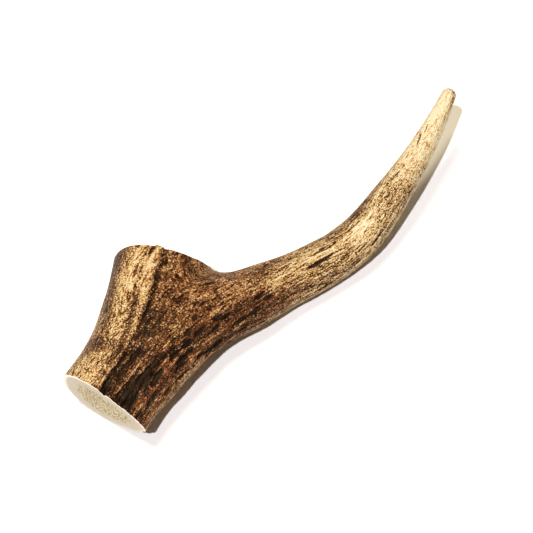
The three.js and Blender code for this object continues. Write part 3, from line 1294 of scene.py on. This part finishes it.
def sawn_material(name):
    material, tree = start_material(name)
    place = add(tree, "ShaderNodeTexCoord").outputs["Object"]
    core = attribute(tree, "core")
    inwards = math_node(tree, "MULTIPLY_ADD", grain(tree, place, *WANDER), WANDERS_BY, core)
    spongy = mapped(tree, inwards, SPONGE_STARTS, smooth=True)
    deep = math_node(tree, "MULTIPLY", spongy_holes(tree, place), spongy)
    height_here = add(tree, "ShaderNodeSeparateXYZ", {"Vector": place}).outputs["Z"]
    # Paint the highlight along the rim, brightest on the upper edge where light catches it.
    crisp = math_node(tree, "MULTIPLY", mapped(tree, core, HIGHLIGHT_RING, (1, 0)),
                      mapped(tree, height_here, HIGHLIGHT_HEIGHTS, (HIGHLIGHT_BELOW, 1)))
    scratches = grain(tree, squeezed(tree, place, SCRATCHES_LONG), *SCRATCHES)
    fine = math_node(tree, "MULTIPLY", grain(tree, place, *BONE_GRAIN), GRAIN_SHARE)
    texture = math_node(tree, "MULTIPLY_ADD", scratches, 1 - GRAIN_SHARE, fine)
    bone = mix(tree, spongy, mix(tree, texture, *RIM_COLOURS),
               mix(tree, texture, *SPONGE_COLOURS))
    bone = mix(tree, crisp, bone, RIM_HIGHLIGHT_COLOUR)
    bone = mix(tree, deep, bone, HOLE_COLOUR)
    height = math_node(tree, "MULTIPLY_ADD", deep, -HOLE_DEPTH, texture)
    bump = add(tree, "ShaderNodeBump", {
        "Strength": BONE_BUMP, "Distance": BUMP_HEIGHT, "Height": height})
    shader = add(tree, "ShaderNodeBsdfPrincipled", {
        "Base Color": bone, "Roughness": BONE_DULLNESS, "Normal": bump.outputs[0],
        "Specular IOR Level": BONE_SHINE})
    add(tree, "ShaderNodeOutputMaterial", {"Surface": shader.outputs[0]})
    return material


# %% [markdown]
# ## Dress the pieces
#
# Both pieces wear the same kind of skin, and the sawn faces wear the bone. Each piece
# rides on the one body and stands for its node.

# %% Dress the two pieces
sawn_bone = sawn_material("sawn_bone")
for piece, name, node, slot in (
    (beam_piece, "dark_skin", "main_beam", "dark_antler"),
    (tine_piece, "pale_skin", "tine", "pale_antler"),
):
    piece.data.materials.append(antler_material(name))
    piece.data.materials.append(sawn_bone)
    piece.data.shade_smooth()
    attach(piece, "root")
    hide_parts(node)
    triangles = sum(len(face.vertices) - 2 for face in piece.data.polygons)
    print(piece.name, triangles, "triangles")

# %% [markdown]
# ## Floor, light and camera
#
# The antler lies on a white floor. A small bright sun, high and to the front left,
# gives the crisp narrow shadow. A broad warm one from nearly overhead softens it, and
# a faint warm sky all round fills the rest. The floor washes out to white.

# %% The floor
FLOOR_SIZE = 3.0
FLOOR_DROP = 0.0004
PAPER_WHITE = (0.88, 0.88, 0.88, 1)
PAPER_DULLNESS = 0.9
PAPER_SHINE = 0.1

floor_bm = bmesh.new()
bmesh.ops.create_grid(floor_bm, x_segments=1, y_segments=1, size=FLOOR_SIZE)
bmesh.ops.translate(floor_bm, verts=floor_bm.verts, vec=(0, 0, -FLOOR_DROP))
floor_mesh = bpy.data.meshes.new("floor")
floor_bm.to_mesh(floor_mesh)
floor_bm.free()
floor = bpy.data.objects.new("floor", floor_mesh)
bpy.context.scene.collection.objects.link(floor)
paper, paper_tree = start_material("white_paper")
paper_shader = add(paper_tree, "ShaderNodeBsdfPrincipled", {
    "Base Color": PAPER_WHITE, "Roughness": PAPER_DULLNESS,
    "Specular IOR Level": PAPER_SHINE})
add(paper_tree, "ShaderNodeOutputMaterial", {"Surface": paper_shader.outputs[0]})
floor_mesh.materials.append(paper)
print(f"floor {2 * FLOOR_SIZE:.0f} m across")

# %% The light
KEY_FROM = (-0.18, -0.445, 1)
WARM_FROM = (-0.22, 0.07, 1)
KEY = dict(energy=3.0, angle=0.02, color=(0.99, 0.97, 1.0))
WARM = dict(energy=2.3, angle=0.28, color=(1.0, 0.86, 0.62))
SKY_COLOUR = (1.0, 0.80, 0.62, 1)
SKY_STRENGTH = 0.14


def sun(name, comes_from, settings):
    data = bpy.data.lights.new(name, "SUN")
    for setting, value in settings.items():
        setattr(data, setting, value)
    lamp = bpy.data.objects.new(name, data)
    lamp.rotation_euler = Vector(comes_from).to_track_quat("Z", "Y").to_euler()
    bpy.context.scene.collection.objects.link(lamp)
    return lamp


sun("key", KEY_FROM, KEY)
sun("warm_fill", WARM_FROM, WARM)
world = bpy.data.worlds.new("sky")
world.use_nodes = True
world.node_tree.nodes.clear()
sky = add(world.node_tree, "ShaderNodeBackground", {
    "Color": SKY_COLOUR, "Strength": SKY_STRENGTH})
add(world.node_tree, "ShaderNodeOutputWorld", {"Surface": sky.outputs[0]})
bpy.context.scene.world = world
print(f"two suns of {KEY['energy']} and {WARM['energy']}, sky {SKY_STRENGTH}")

# %% The camera
CAMERA_HEIGHT_ANGLE = 60.0
CAMERA_FAR = 850.0
CAMERA_AIM = Vector((0.5, 0.5, 14.0))
LENS = 140.0
SENSOR = 36.0

steep = np.radians(CAMERA_HEIGHT_ANGLE)
camera_back = Vector((0, -np.cos(steep), np.sin(steep)))
camera_data = bpy.data.cameras.new("camera")
camera_data.lens = LENS
camera_data.sensor_width = SENSOR
camera = bpy.data.objects.new("camera", camera_data)
camera.location = (CAMERA_AIM + CAMERA_FAR * camera_back) * MM
camera.rotation_euler = camera_back.to_track_quat("Z", "Y").to_euler()
bpy.context.scene.collection.objects.link(camera)
bpy.context.scene.camera = camera
bpy.context.scene.view_settings.view_transform = "Standard"
print(f"camera {CAMERA_FAR:.0f} mm away, looking down at {CAMERA_HEIGHT_ANGLE:.0f} degrees")
